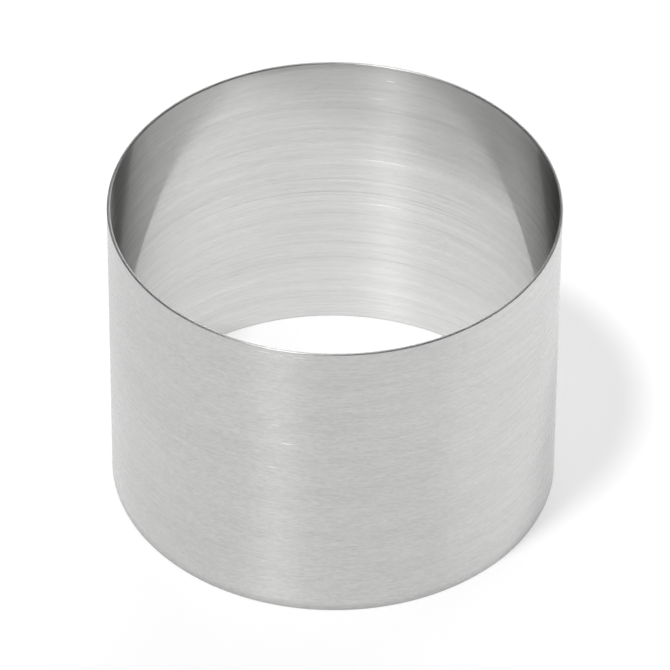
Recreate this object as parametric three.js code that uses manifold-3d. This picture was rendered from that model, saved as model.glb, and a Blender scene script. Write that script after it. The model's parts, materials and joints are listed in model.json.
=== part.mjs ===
// Pastry ring: a strip of stainless steel, rolled round and closed with one butt weld.
//
// Units are millimetres, with +Z up. The origin is on the ring's axis, level with its lower edge.
// The front of the ring faces -Y, and the weld runs up the wall at +X.

import * as THREE from "three";
import { mergeVertices } from "three/addons/utils/BufferGeometryUtils.js";
import Module from "manifold-3d";

// Driving dimensions of the ring
const OUTER_DIAMETER = 100;
const HEIGHT = 75;
const WALL = 0.7;
const EDGE_RADIUS = 0.2; // the sheared edges of the strip are rubbed down to this round

// The weld is a wedge: the torch melts a wider bead on the outside than comes through to the inside.
const WELD_FACE_WIDTH = 1.6; // across the outside of the wall
const WELD_ROOT_WIDTH = 1.0; // across the inside of the wall

// How finely the round surfaces are divided
const RING_SEGMENTS = 180; // around the ring
const EDGE_SEGMENTS = 3; // around each edge round

// Sizes that follow from the driving dimensions
const OUTER_RADIUS = OUTER_DIAMETER / 2;
const INNER_RADIUS = OUTER_RADIUS - WALL;
const EDGE_ROUND = Math.min(EDGE_RADIUS, WALL / 3); // leaves a flat on the thinnest strip
const CUT_OVERRUN = WALL; // how far the seam's cutter reaches past the strip on every side

const wasm = await Module();
wasm.setup();

// Closed triangle mesh of three.js to a solid that can be cut.
function toSolid(geometry) {
  const bare = geometry.clone();
  bare.deleteAttribute("normal");
  bare.deleteAttribute("uv");
  const merged = mergeVertices(bare);
  const mesh = new wasm.Mesh({
    numProp: 3,
    vertProperties: new Float32Array(merged.attributes.position.array),
    triVerts: new Uint32Array(merged.index.array),
  });
  return new wasm.Manifold(mesh);
}

// Cut solid back to a three.js geometry.
function toGeometry(solid) {
  const mesh = solid.getMesh();
  const geometry = new THREE.BufferGeometry();
  geometry.setAttribute("position", new THREE.BufferAttribute(mesh.vertProperties, mesh.numProp));
  geometry.setIndex(new THREE.BufferAttribute(mesh.triVerts, 1));
  geometry.computeVertexNormals();
  return geometry;
}

// Section of the strip, in radius and height: a tall thin rectangle with its four edges rounded.
// It is drawn counter-clockwise from the foot of the outer wall and closes on itself.
function stripSection() {
  const corners = [
    { radius: OUTER_RADIUS - EDGE_ROUND, height: EDGE_ROUND, from: -Math.PI / 2 },
    { radius: OUTER_RADIUS - EDGE_ROUND, height: HEIGHT - EDGE_ROUND, from: 0 },
    { radius: INNER_RADIUS + EDGE_ROUND, height: HEIGHT - EDGE_ROUND, from: Math.PI / 2 },
    { radius: INNER_RADIUS + EDGE_ROUND, height: EDGE_ROUND, from: Math.PI },
  ];
  const outline = [];
  for (const corner of corners) {
    for (let step = 0; step <= EDGE_SEGMENTS; step++) {
      const angle = corner.from + (step / EDGE_SEGMENTS) * (Math.PI / 2);
      outline.push(
        new THREE.Vector2(
          corner.radius + EDGE_ROUND * Math.cos(angle),
          corner.height + EDGE_ROUND * Math.sin(angle),
        ),
      );
    }
  }
  outline.push(outline[0].clone());
  return outline;
}

// The finished wall, all the way round, before it is told apart into strip and weld.
function wholeWall() {
  const wall = new THREE.LatheGeometry(stripSection(), RING_SEGMENTS);
  wall.rotateX(Math.PI / 2); // the lathe turns about Y, and the ring stands along Z
  return toSolid(wall);
}

// Wedge that the weld fills at +X: as wide as the root inside the wall and as the face outside it.
function seamWedge() {
  const halfRoot = WELD_ROOT_WIDTH / 2;
  const halfFace = WELD_FACE_WIDTH / 2;
  const plan = new THREE.Shape([
    new THREE.Vector2(INNER_RADIUS - CUT_OVERRUN, -halfRoot),
    new THREE.Vector2(INNER_RADIUS, -halfRoot),
    new THREE.Vector2(OUTER_RADIUS, -halfFace),
    new THREE.Vector2(OUTER_RADIUS + CUT_OVERRUN, -halfFace),
    new THREE.Vector2(OUTER_RADIUS + CUT_OVERRUN, halfFace),
    new THREE.Vector2(OUTER_RADIUS, halfFace),
    new THREE.Vector2(INNER_RADIUS, halfRoot),
    new THREE.Vector2(INNER_RADIUS - CUT_OVERRUN, halfRoot),
  ]);
  const wedge = new THREE.ExtrudeGeometry(plan, {
    depth: HEIGHT + 2 * CUT_OVERRUN,
    bevelEnabled: false,
  });
  wedge.translate(0, 0, -CUT_OVERRUN);
  return toSolid(wedge);
}

// Brushed stainless steel, all round the strip
const brushedSteel = new THREE.MeshStandardMaterial({
  color: 0xc4c4c3,
  metalness: 1,
  roughness: 0.34,
});

// The weld is dressed flush and brushed over, which leaves it a little duller.
const dressedWeld = new THREE.MeshStandardMaterial({
  color: 0xbcbcba,
  metalness: 1,
  roughness: 0.42,
});

function namedMesh(name, solid, material) {
  const mesh = new THREE.Mesh(toGeometry(solid), material);
  mesh.name = name;
  return mesh;
}

const wall = wholeWall();
const wedge = seamWedge();

const pastryRing = new THREE.Group();
pastryRing.add(namedMesh("rolled_band", wall.subtract(wedge), brushedSteel));
pastryRing.add(namedMesh("seam_weld", wall.intersect(wedge), dressedWeld));

export default pastryRing;
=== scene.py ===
"""Pastry ring of brushed stainless steel: its looks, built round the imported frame.

Sizes are in metres, in the frame of the part: +Z is up, the origin is on the ring's axis, level with
its lower edge, the front faces -Y, and the weld runs up the wall at +X. An azimuth is an angle about
the axis, in degrees: 0 is the front, and a positive one is to the right of it.
"""

import json
import math

import bpy
from mathutils import Matrix, Vector


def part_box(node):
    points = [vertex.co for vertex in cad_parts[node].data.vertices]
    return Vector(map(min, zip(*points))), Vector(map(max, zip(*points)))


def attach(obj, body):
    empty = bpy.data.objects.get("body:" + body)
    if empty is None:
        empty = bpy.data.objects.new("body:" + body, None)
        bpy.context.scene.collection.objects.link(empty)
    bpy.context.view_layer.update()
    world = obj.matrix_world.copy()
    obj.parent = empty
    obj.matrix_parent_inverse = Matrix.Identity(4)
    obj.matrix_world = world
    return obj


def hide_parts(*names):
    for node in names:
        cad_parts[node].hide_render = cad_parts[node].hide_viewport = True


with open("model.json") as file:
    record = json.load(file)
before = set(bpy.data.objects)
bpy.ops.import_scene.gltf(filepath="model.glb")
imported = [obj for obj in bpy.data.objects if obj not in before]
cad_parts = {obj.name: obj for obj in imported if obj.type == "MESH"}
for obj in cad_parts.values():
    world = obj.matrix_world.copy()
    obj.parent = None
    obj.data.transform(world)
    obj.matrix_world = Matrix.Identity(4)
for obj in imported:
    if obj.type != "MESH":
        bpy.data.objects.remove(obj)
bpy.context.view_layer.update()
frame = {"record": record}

# Sizes of the ring
OUTER_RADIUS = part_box("rolled_band")[1].y
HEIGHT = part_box("rolled_band")[1].z
WALL = 0.0007
INNER_RADIUS = OUTER_RADIUS - WALL
EDGE_ROUND = 0.0002
WELD_FACE_WIDTH = 0.0016  # across the outside of the wall
WELD_ROOT_WIDTH = 0.0010  # across the inside of the wall
WELD_CROWN = 0.000004  # what the dressing has left of the bead, inside and out

# How finely the surfaces are divided
BAND_COLUMNS = 360
WELD_COLUMNS = 8
WALL_ROWS = 40
EDGE_STEPS = 6
CAP_SHARE = 0.01  # of the unrolled map's width, for the two hidden ends of a piece
SHARP_ANGLE = 40  # degrees between two faces from which their shared edge is drawn sharp

# Kinds of surface, in the order of a piece's materials
OUTSIDE, INSIDE, EDGE = range(3)

# Finish of the steel. The noise start shifts the noise, so that each finish has its own. The shade is a
# factor on the record's base colour, and the edge tint is what the steel sends back at a grazing angle.
# Two blended shaders make the brushed grain: a fine one, with the roughness, and a coarse one, with the
# coarse roughness and the coarse share of the surface. The painted foot shade darkens the colour by the
# lower edge: painted shade that stands in for the floor's contact shadow mirrored in the steel. A streak
# has a length round the ring, a height, and a depth: how far it lightens or darkens the steel. A line runs
# all round the ring and has a height above the lower edge and a depth. A scratch has an azimuth, a height
# above the lower edge, a length, a width and a strength: it roughens the steel and lightens its colour,
# which is a painted highlight standing in for its glint.
OUTSIDE_FINISH = {
    "noise_start": 100,
    "shade": 0.97,
    "edge_tint": 1.0,
    "roughness": 0.16,
    "coarse_roughness": 0.33,
    "coarse_share": 0.29,
    "painted_foot_shade": 0.78,
    "streaks": [
        (0.0012, 0.0004, 0.060),
        (0.006, 0.0006, 0.020),
        (0.020, 0.0010, 0.017),
        (0.060, 0.0060, 0.012),
    ],
    "lines": [],
    "scratches_and_glints": [
        (-11.4, 0.0485, 0.0038, 0.0006, 1.0),
        (-14.5, 0.0534, 0.0030, 0.0006, 0.6),
        (-20.0, 0.0450, 0.0040, 0.0006, 0.4),
        (-15.3, 0.0410, 0.0030, 0.0006, 0.6),
        (-4.6, 0.0322, 0.0030, 0.0006, 0.4),
        (-6.0, 0.0246, 0.0030, 0.0006, 0.4),
        (-17.5, 0.0738, 0.0040, 0.0006, 0.6),
        (-13.5, 0.0737, 0.0030, 0.0006, 0.6),
        (-8.5, 0.0736, 0.0040, 0.0006, 0.6),
    ],
}
INSIDE_FINISH = {
    "noise_start": 200,
    "shade": 1.19,
    "edge_tint": 0.42,
    "roughness": 0.09,
    "coarse_roughness": 0.35,
    "coarse_share": 0.30,
    "painted_foot_shade": 1.0,
    "streaks": [
        (0.006, 0.0006, 0.022),
        (0.030, 0.0006, 0.028),
        (0.100, 0.0010, 0.024),
        (0.300, 0.0040, 0.016),
    ],
    "lines": [
        (0.0415, 0.12),
        (0.0376, 0.20),
        (0.0366, 0.16),
        (0.0347, 0.12),
        (0.0313, 0.09),
        (0.0227, 0.10),
        (0.0181, 0.12),
        (0.0169, 0.10),
        (0.0063, 0.10),
        (0.0035, 0.09),
    ],
    "scratches_and_glints": [
        (165.6, 0.0711, 0.0030, 0.0006, 0.7),
        (169.1, 0.0655, 0.0060, 0.0006, 0.55),
        (163.8, 0.0627, 0.0050, 0.0006, 0.4),
        (167.0, 0.0473, 0.0150, 0.0008, 0.7),
        (168.0, 0.0345, 0.0150, 0.0008, 0.7),
        (166.5, 0.0237, 0.0060, 0.0006, 0.3),
        (167.5, 0.0152, 0.0060, 0.0006, 0.3),
    ],
}
WELD_FINISH = {
    "noise_start": 300,
    "shade": 1.0,
    "edge_tint": 0.8,
    "roughness": 0.22,
    "coarse_roughness": 0.40,
    "coarse_share": 0.4,
    "painted_foot_shade": 0.9,
    "streaks": [
        (0.0020, 0.0004, 0.08),
        (0.0040, 0.0012, 0.06),
    ],
    "lines": [],
    "scratches_and_glints": [],
}
STREAK_DETAIL = 1
LINE_WIDTH = 0.0005
LINE_FADE_LENGTH = 0.04  # distance round the ring over which a line comes and goes
LINE_FADE_HEIGHT = 1.0  # so far that the fading is the same over the whole height
LINE_FADE_DETAIL = 0
LINE_FADE_RANGE = (0.35, 0.65)  # of the noise, over which a line goes from half to all of its depth
PAINTED_GLINT_LIGHT = 0.25  # painted highlight: how far a strong scratch lightens the steel's colour, standing in for its glint
PAINTED_SHADE_HEIGHT = 0.0025  # of the stretch by the lower edge that painted shade darkens

# Patches in which the coarse share of the steel drifts up and down
DRIFT = 0.12  # to either side, as a part of that share
DRIFT_LENGTH = 0.015
DRIFT_HEIGHT = 0.0005
DRIFT_DETAIL = 2
DRIFT_START = 10  # added to the noise start, so that the drift doesn't follow the streaks

# Edges of the sheet, rubbed smooth along the ring and nicked. The shade darkens the steel's colour on the
# edge: partly the duller cut, partly painted shade standing in for the dark surroundings that the rim
# mirrors. The nicks take the shade and the roughness from the first to the second value. The brushing is
# how far the rubbing has a direction, from 0 to 1.
EDGE_FINISH = {
    "noise_start": 0,
    "shade": (0.58, 0.66),
    "edge_tint": 0.5,
    "roughness": (0.41, 0.47),
    "brushing": 0.8,
    "nick_length": 0.003,
    "nick_height": 0.0005,
    "nick_depth": 0.000003,
}
NICK_DETAIL = 3

NOISE_RANGE = (0.3, 0.7)  # range that holds nearly all of the noise
NOISE_ROUGHNESS = 0.6
QUARTER_TURN = 0.25  # from the way of the brushing, because gloss spreads across it

# Sockets of a Mix node that take and give colours: other sockets have the same names
MIX_FIRST, MIX_SECOND = 6, 7
MIX_RESULT = 2

# The camera, fitted to the two rims and the silhouette in a frame of 670 by 670 pixels
FRAME_PIXELS = 670
FOCAL_PIXELS = 6800
SENSOR_WIDTH = 36  # millimetres
CAMERA_DISTANCE = 1.5147  # from the ring's centre
CAMERA_ELEVATION = 41.12
CAMERA_ROLL = 0.39
CAMERA_AIM = Vector((0.0002, 0, HEIGHT / 2 - 0.0004))  # a little off the ring's centre

# Studio lamps, all far away: azimuth, elevation, width across as seen from the ring, and strength
LAMPS = {
    "key": (-44, 68, 8, 2.50),
    "overhead": (0, 90, 30, 0.25),
    "back_right_fill": (148, 12, 32, 1.0),
    "backdrop": (180, 11, 34, 2.2),
}
WORLD_LEVEL = 0.10
GLOSSY_BOUNCES = 8  # for the reflections of reflections inside the ring

# A lit card on the right that is lower than the ring, so that none of its light gets inside
CARD_PLACE = Vector((0.45, -0.05, 0.03))
CARD_LENGTH = 0.70
CARD_HEIGHT = 0.05
CARD_POWER = 0.60

FLOOR_COLOUR = 0.95
FLOOR_GLOW = 0.62  # share of plain white in what is seen of the floor, which lightens the shadow
FLOOR_HALF_SIZE = 6.0


def slot_colour(slot):
    """Base colour that the record gives to a material slot."""
    for material in frame["record"]["materials"]:
        if material["slot"] == slot:
            return material["base_color"]
    raise KeyError(slot)


def direction(azimuth, elevation):
    """Unit vector out from the ring, from two angles in degrees."""
    turn = math.radians(azimuth)
    rise = math.radians(elevation)
    level = math.cos(rise)
    return Vector((math.sin(turn) * level, -math.cos(turn) * level, math.sin(rise)))


# Shape of the wall

def edge_round(radius, height, start):
    """Quarter turn of an edge round about its centre, as points of (radius, height)."""
    points = []
    for step in range(EDGE_STEPS + 1):
        angle = start + math.pi / 2 * step / EDGE_STEPS
        points.append((radius + EDGE_ROUND * math.cos(angle), height + EDGE_ROUND * math.sin(angle)))
    return points


def wall_rows(radius, start, end):
    """Points between the edge rounds of one side of the wall."""
    points = []
    for row in range(1, WALL_ROWS):
        points.append((radius, start + (end - start) * row / WALL_ROWS))
    return points


def wall_section():
    """Section of the wall as (radius, height): up the outside, over the rim and down the inside."""
    low = EDGE_ROUND
    high = HEIGHT - EDGE_ROUND
    outer = OUTER_RADIUS - EDGE_ROUND
    inner = INNER_RADIUS + EDGE_ROUND
    quarter = math.pi / 2
    loop = edge_round(outer, low, -quarter)
    loop += wall_rows(OUTER_RADIUS, low, high)
    loop += edge_round(outer, high, 0)
    loop += edge_round(inner, high, quarter)
    loop += wall_rows(INNER_RADIUS, high, low)
    loop += edge_round(inner, low, 2 * quarter)
    return loop


def surface_kind(start, end):
    """Kind of the surface between two neighbouring points of the section."""
    tiny = EDGE_ROUND / 1000
    radii = start[0], end[0]
    if min(radii) > OUTER_RADIUS - tiny:
        return OUTSIDE
    if max(radii) < INNER_RADIUS + tiny:
        return INSIDE
    return EDGE


def shares_along(loop):
    """How far along the closed section each point lies, from 0 to 1."""
    lengths = [math.dist(point, loop[(k + 1) % len(loop)]) for k, point in enumerate(loop)]
    shares = [0.0]
    for length in lengths:
        shares.append(shares[-1] + length / sum(lengths))
    return shares


def wall_vertices(loop, columns, ends_at, crown):
    """Points of a piece of the wall, section by section, swollen by the crown towards its middle."""
    middle_radius = (OUTER_RADIUS + INNER_RADIUS) / 2
    vertices = []
    for column in range(columns + 1):
        share = column / columns
        swell = crown * (1 - (2 * share - 1) ** 2)
        for radius, height in loop:
            start, end = ends_at(radius)
            angle = start + (end - start) * share
            reach = radius + math.copysign(swell, radius - middle_radius)
            vertices.append((reach * math.cos(angle), reach * math.sin(angle), height))
    return vertices


def side_faces(loop, columns):
    """Faces between neighbouring sections: corners, kind of surface, and places on the unrolled map."""
    count = len(loop)
    along = shares_along(loop)
    wide = 1 - CAP_SHARE
    faces = []
    for column in range(columns):
        here = column * count
        there = here + count
        left = wide * column / columns
        right = wide * (column + 1) / columns
        for k in range(count):
            after = (k + 1) % count
            low, high = along[k], along[k + 1]
            corners = (here + k, there + k, there + after, here + after)
            places = [(left, low), (right, low), (right, high), (left, high)]
            faces.append((corners, surface_kind(loop[k], loop[after]), places))
    return faces


def cap_faces(loop, columns):
    """Faces that close the two ends of a piece, described like the others."""
    count = len(loop)
    along = shares_along(loop)
    last = columns * count
    wide = 1 - CAP_SHARE
    middle = 1 - CAP_SHARE / 2
    faces = []
    for k in range(count // 2 - 1):
        across = count - 1 - k
        low, high = along[k], along[k + 1]
        corners = (k, k + 1, across - 1, across)
        faces.append((corners, EDGE, [(wide, low), (wide, high), (middle, high), (middle, low)]))
        corners = (last + across, last + across - 1, last + k + 1, last + k)
        faces.append((corners, EDGE, [(1, low), (1, high), (middle, high), (middle, low)]))
    return faces


def wall_piece(name, columns, ends_at, crown, materials):
    """Piece of the ring's wall between two angles that depend on the radius, swollen by the crown."""
    loop = wall_section()
    faces = side_faces(loop, columns) + cap_faces(loop, columns)
    corners, kinds, places = zip(*faces)
    mesh = bpy.data.meshes.new(name)
    mesh.from_pydata(wall_vertices(loop, columns, ends_at, crown), [], corners)
    for material in materials:
        mesh.materials.append(material)
    mesh.polygons.foreach_set("material_index", kinds)
    mesh.polygons.foreach_set("use_smooth", [True] * len(faces))
    unrolled = mesh.uv_layers.new(name="OFBake")
    unrolled.uv.foreach_set("vector", [value for face in places for place in face for value in place])
    mesh.update()
    mesh.set_sharp_from_angle(angle=math.radians(SHARP_ANGLE))
    piece = bpy.data.objects.new(name, mesh)
    bpy.context.scene.collection.objects.link(piece)
    return piece


def weld_half_angle(radius):
    """Half of the angle that the weld takes up at this radius, as seen from the axis."""
    share = (radius - INNER_RADIUS) / WALL
    width = WELD_ROOT_WIDTH + (WELD_FACE_WIDTH - WELD_ROOT_WIDTH) * share
    return math.asin(width / 2 / radius)


def band_ends(radius):
    """Angles from +X between which the strip lies at this radius."""
    half = weld_half_angle(radius)
    return half, 2 * math.pi - half


def weld_ends(radius):
    """Angles from +X between which the weld lies at this radius."""
    half = weld_half_angle(radius)
    return -half, half


# Steel

def add(tree, kind, **settings):
    """New node of a tree, with its settings."""
    made = tree.nodes.new(kind)
    for name, value in settings.items():
        setattr(made, name, value)
    return made


def feed(tree, socket, value):
    """Links a node's output to a socket, or sets the socket to a number or colour."""
    if isinstance(value, bpy.types.NodeSocket):
        tree.links.new(value, socket)
    else:
        socket.default_value = value


def calculate(tree, operation, first, second=0):
    """Result of a calculation with one or two values."""
    made = add(tree, "ShaderNodeMath", operation=operation)
    feed(tree, made.inputs[0], first)
    feed(tree, made.inputs[1], second)
    return made.outputs[0]


def remap(tree, value, from_low, from_high, to_low, to_high):
    """Value carried smoothly from one range to another and held at its ends."""
    made = add(tree, "ShaderNodeMapRange", interpolation_type="SMOOTHSTEP")
    feed(tree, made.inputs["Value"], value)
    made.inputs["From Min"].default_value = from_low
    made.inputs["From Max"].default_value = from_high
    made.inputs["To Min"].default_value = to_low
    made.inputs["To Max"].default_value = to_high
    return made.outputs["Result"]


def surface_place(tree):
    """Place on the surface, in the frame of the part."""
    return add(tree, "ShaderNodeTexCoord").outputs["Object"]


def height_above_foot(tree):
    """Height of the surface above the lower edge."""
    parts = add(tree, "ShaderNodeSeparateXYZ")
    feed(tree, parts.inputs["Vector"], surface_place(tree))
    return parts.outputs["Z"]


def way_round(tree):
    """Direction that runs round the ring at each place of the surface."""
    turn = add(tree, "ShaderNodeVectorMath", operation="CROSS_PRODUCT")
    turn.inputs[0].default_value = (0, 0, 1)
    feed(tree, turn.inputs[1], surface_place(tree))
    return turn.outputs["Vector"]


def streaks(tree, length, height, detail, start):
    """Noise drawn out round the ring, from 0 to 1: each streak is about this long and high."""
    stretch = add(tree, "ShaderNodeMapping")
    feed(tree, stretch.inputs["Vector"], surface_place(tree))
    stretch.inputs["Scale"].default_value = (1 / length, 1 / length, 1 / height)
    stretch.inputs["Location"].default_value = (start, start, start)
    noise = add(tree, "ShaderNodeTexNoise")
    feed(tree, noise.inputs["Vector"], stretch.outputs["Vector"])
    noise.inputs["Scale"].default_value = 1
    noise.inputs["Detail"].default_value = detail
    noise.inputs["Roughness"].default_value = NOISE_ROUGHNESS
    return noise.outputs["Fac"]


def line_at(tree, height, width):
    """Mask of a thin line round the ring: 1 at this height, and 0 from half a width away."""
    offset = calculate(tree, "SUBTRACT", height_above_foot(tree), height)
    return remap(tree, calculate(tree, "ABSOLUTE", offset), 0, width / 2, 1, 0)


def arc_at(tree, azimuth, length):
    """Mask of a stretch of the wall: 1 at this azimuth, and 0 from half a length away."""
    level = add(tree, "ShaderNodeVectorMath", operation="MULTIPLY")
    feed(tree, level.inputs[0], surface_place(tree))
    level.inputs[1].default_value = (1, 1, 0)
    outward = add(tree, "ShaderNodeVectorMath", operation="NORMALIZE")
    feed(tree, outward.inputs[0], level.outputs["Vector"])
    nearness = add(tree, "ShaderNodeVectorMath", operation="DOT_PRODUCT")
    feed(tree, nearness.inputs[0], outward.outputs["Vector"])
    nearness.inputs[1].default_value = direction(azimuth, 0)
    half_angle = length / 2 / OUTER_RADIUS
    return remap(tree, nearness.outputs["Value"], math.cos(half_angle), 1, 0, 1)


def scratch_at(tree, azimuth, height, length, width, strength):
    """Mask of a scratch: its strength at its middle, and 0 from its ends and sides outward."""
    mask = calculate(tree, "MULTIPLY", line_at(tree, height, width), arc_at(tree, azimuth, length))
    return calculate(tree, "MULTIPLY", mask, strength)


def new_material(name):
    """New material, with its node tree and its first shader."""
    material = bpy.data.materials.new(name)
    material.use_nodes = True
    tree = material.node_tree
    return material, tree, tree.nodes["Principled BSDF"]


def metal(tree, shader, colour, edge_tint):
    """Makes bare metal of a shader, with a colour that may change from place to place."""
    feed(tree, shader.inputs["Base Color"], colour)
    shader.inputs["Metallic"].default_value = 1
    shader.inputs["Specular Tint"].default_value = (edge_tint, edge_tint, edge_tint, 1)


def brush(tree, shader, roughness, strength=1):
    """Brushes the metal of a shader round the ring: at a strength of 0 the grain has no direction."""
    feed(tree, shader.inputs["Roughness"], roughness)
    shader.inputs["Anisotropic"].default_value = strength
    shader.inputs["Anisotropic Rotation"].default_value = QUARTER_TURN
    feed(tree, shader.inputs["Tangent"], way_round(tree))


def tinted(tree, colour, light):
    """Colour that is lightened or darkened from place to place."""
    mix = add(tree, "ShaderNodeMix", data_type="RGBA", blend_type="MULTIPLY")
    mix.inputs["Factor"].default_value = 1
    feed(tree, mix.inputs[MIX_FIRST], list(colour) + [1])
    feed(tree, mix.inputs[MIX_SECOND], light)
    return mix.outputs[MIX_RESULT]


def show_both(tree, first, second, share):
    """Shows two shaders blended on the surface: the share is that of the second one."""
    both = add(tree, "ShaderNodeMixShader")
    feed(tree, both.inputs["Fac"], share)
    feed(tree, both.inputs[1], first)
    feed(tree, both.inputs[2], second)
    feed(tree, tree.nodes["Material Output"].inputs["Surface"], both.outputs["Shader"])


def light_of_grain_and_painted_shade(tree, finish):
    """Factor by which the streaks, the lines and the painted shade by the lower edge lighten or darken the
    steel.
    """
    start = finish["noise_start"]
    light = 1
    for number, (length, height, depth) in enumerate(finish["streaks"]):
        streak = streaks(tree, length, height, STREAK_DETAIL, start + number)
        light = calculate(tree, "MULTIPLY", remap(tree, streak, *NOISE_RANGE, 1 - depth, 1 + depth), light)
    for height, depth in finish["lines"]:
        fading = streaks(tree, LINE_FADE_LENGTH, LINE_FADE_HEIGHT, LINE_FADE_DETAIL, start + height)
        faded = remap(tree, fading, *LINE_FADE_RANGE, depth / 2, depth)
        dark = calculate(tree, "MULTIPLY", line_at(tree, height, LINE_WIDTH), faded)
        light = calculate(tree, "SUBTRACT", light, dark)
    # Painted shade: the colour darkens towards the lower edge, standing in for the floor's contact shadow
    # mirrored there
    foot = remap(tree, height_above_foot(tree), 0, PAINTED_SHADE_HEIGHT, finish["painted_foot_shade"], 1)
    return calculate(tree, "MULTIPLY", light, foot)


def drifting_share(tree, finish):
    """Coarse share of the steel, which drifts from place to place."""
    drift = streaks(tree, DRIFT_LENGTH, DRIFT_HEIGHT, DRIFT_DETAIL, finish["noise_start"] + DRIFT_START)
    share = finish["coarse_share"]
    return remap(tree, drift, *NOISE_RANGE, (1 - DRIFT) * share, (1 + DRIFT) * share)


def brushed_steel(name, colour, finish):
    """Steel brushed round the ring, with streaks, lines, and scratched marks that are rougher and carry a
    painted glint.
    """
    material, tree, fine = new_material(name)
    light = light_of_grain_and_painted_shade(tree, finish)
    coarse_share = drifting_share(tree, finish)
    for scratch in finish["scratches_and_glints"]:
        mask = scratch_at(tree, *scratch)
        coarse_share = calculate(tree, "MAXIMUM", coarse_share, mask)
        # Painted highlight: a scratch also lightens the colour, standing in for its glint
        light = calculate(tree, "ADD", light, calculate(tree, "MULTIPLY", mask, PAINTED_GLINT_LIGHT))
    painted = tinted(tree, [finish["shade"] * part for part in colour], light)
    coarse = add(tree, "ShaderNodeBsdfPrincipled")
    for shader, roughness in ((fine, finish["roughness"]), (coarse, finish["coarse_roughness"])):
        metal(tree, shader, painted, finish["edge_tint"])
        brush(tree, shader, roughness)
    show_both(tree, fine.outputs["BSDF"], coarse.outputs["BSDF"], coarse_share)
    return material


def rubbed_edge(name, colour, finish):
    """Bare edge of the sheet, rubbed smooth along the ring, with small nicks, its colour darkened partly
    by painted shade.
    """
    material, tree, shader = new_material(name)
    nicks = streaks(tree, finish["nick_length"], finish["nick_height"], NICK_DETAIL, finish["noise_start"])
    # Partly painted shade: the edge's colour is darker than the steel's
    shade = remap(tree, nicks, *NOISE_RANGE, *finish["shade"])
    metal(tree, shader, tinted(tree, colour, shade), finish["edge_tint"])
    brush(tree, shader, remap(tree, nicks, *NOISE_RANGE, *finish["roughness"]), finish["brushing"])
    bump = add(tree, "ShaderNodeBump")
    bump.inputs["Distance"].default_value = finish["nick_depth"]
    feed(tree, bump.inputs["Height"], nicks)
    feed(tree, shader.inputs["Normal"], bump.outputs["Normal"])
    return material


# Studio

def make_camera():
    """Camera at the photo's viewing angle."""
    data = bpy.data.cameras.new("camera")
    data.sensor_width = SENSOR_WIDTH
    data.lens = FOCAL_PIXELS / FRAME_PIXELS * SENSOR_WIDTH
    camera = bpy.data.objects.new("camera", data)
    centre = Vector((0, 0, HEIGHT / 2))
    spot = centre + CAMERA_DISTANCE * direction(0, CAMERA_ELEVATION)
    aim = (CAMERA_AIM - spot).to_track_quat("-Z", "Y").to_matrix().to_4x4()
    roll = Matrix.Rotation(math.radians(CAMERA_ROLL), 4, "Z")
    camera.matrix_world = Matrix.Translation(spot) @ aim @ roll
    bpy.context.scene.collection.objects.link(camera)
    bpy.context.scene.camera = camera


def make_lamps():
    """Far lamps of the studio, each a soft round patch of light."""
    for name, (azimuth, elevation, width, strength) in LAMPS.items():
        data = bpy.data.lights.new(name, "SUN")
        data.angle = math.radians(width)
        data.energy = strength
        lamp = bpy.data.objects.new(name, data)
        lamp.rotation_euler = direction(azimuth, elevation).to_track_quat("Z", "Y").to_euler()
        bpy.context.scene.collection.objects.link(lamp)


def make_card():
    """Lit oval card, which faces -X and isn't seen by the camera."""
    data = bpy.data.lights.new("card", "AREA")
    data.shape = "ELLIPSE"
    data.size = CARD_LENGTH
    data.size_y = CARD_HEIGHT
    data.energy = CARD_POWER
    card = bpy.data.objects.new("card", data)
    card.location = CARD_PLACE
    card.rotation_euler = Vector((1, 0, 0)).to_track_quat("Z", "Y").to_euler()
    card.visible_camera = False
    bpy.context.scene.collection.objects.link(card)


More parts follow.
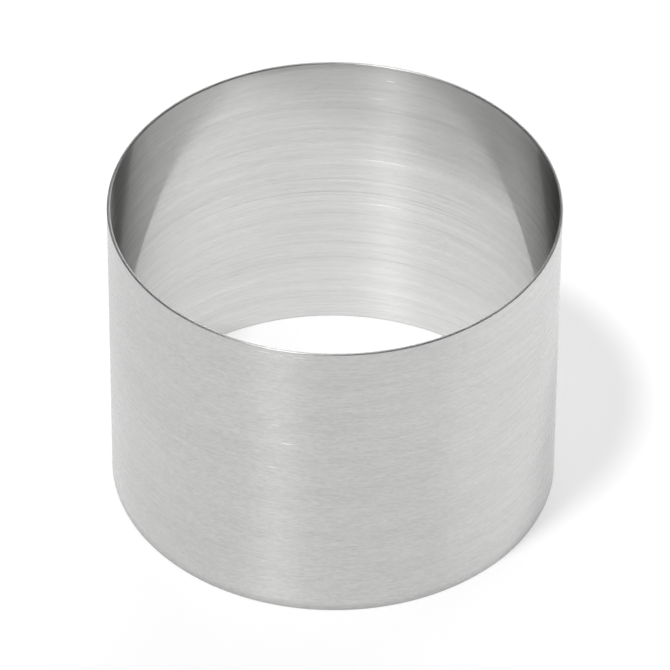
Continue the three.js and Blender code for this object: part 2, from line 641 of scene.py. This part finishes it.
def make_world():
    """Dim white light from all round."""
    world = bpy.data.worlds.new("studio")
    world.use_nodes = True
    background = world.node_tree.nodes["Background"]
    background.inputs["Color"].default_value = (1, 1, 1, 1)
    background.inputs["Strength"].default_value = WORLD_LEVEL
    bpy.context.scene.world = world


def white_floor():
    """Matt white that keeps shadows, lightened by plain white where it is seen or mirrored."""
    material, tree, matt = new_material("white floor")
    matt.inputs["Base Color"].default_value = (FLOOR_COLOUR, FLOOR_COLOUR, FLOOR_COLOUR, 1)
    matt.inputs["Roughness"].default_value = 1
    matt.inputs["Specular IOR Level"].default_value = 0
    path = add(tree, "ShaderNodeLightPath")
    seen = calculate(tree, "MAXIMUM", path.outputs["Is Camera Ray"], path.outputs["Is Glossy Ray"])
    seen = calculate(tree, "MAXIMUM", seen, path.outputs["Is Transmission Ray"])
    glow = add(tree, "ShaderNodeEmission")
    share = calculate(tree, "MULTIPLY", seen, FLOOR_GLOW)
    show_both(tree, matt.outputs["BSDF"], glow.outputs["Emission"], share)
    return material


def make_floor():
    """Wide white floor under the ring."""
    mesh = bpy.data.meshes.new("floor")
    far = FLOOR_HALF_SIZE
    mesh.from_pydata([(-far, -far, 0), (far, -far, 0), (far, far, 0), (-far, far, 0)], [], [(0, 1, 2, 3)])
    mesh.materials.append(white_floor())
    floor = bpy.data.objects.new("floor", mesh)
    bpy.context.scene.collection.objects.link(floor)


def make_ring():
    """Strip and weld, each in place of its node."""
    steel = slot_colour("brushed_steel")
    edge = rubbed_edge("rubbed edge", steel, EDGE_FINISH)
    outside = brushed_steel("brushed steel outside", steel, OUTSIDE_FINISH)
    inside = brushed_steel("brushed steel inside", steel, INSIDE_FINISH)
    dressed = brushed_steel("dressed weld", slot_colour("dressed_weld"), WELD_FINISH)
    band = wall_piece("band", BAND_COLUMNS, band_ends, 0, [outside, inside, edge])
    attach(band, "root")
    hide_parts("rolled_band")
    weld = wall_piece("weld", WELD_COLUMNS, weld_ends, WELD_CROWN, [dressed, dressed, edge])
    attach(weld, "root")
    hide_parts("seam_weld")


make_camera()
make_ring()
make_floor()
make_lamps()
make_card()
make_world()
bpy.context.scene.view_settings.view_transform = "Standard"
bpy.context.scene.cycles.glossy_bounces = GLOSSY_BOUNCES
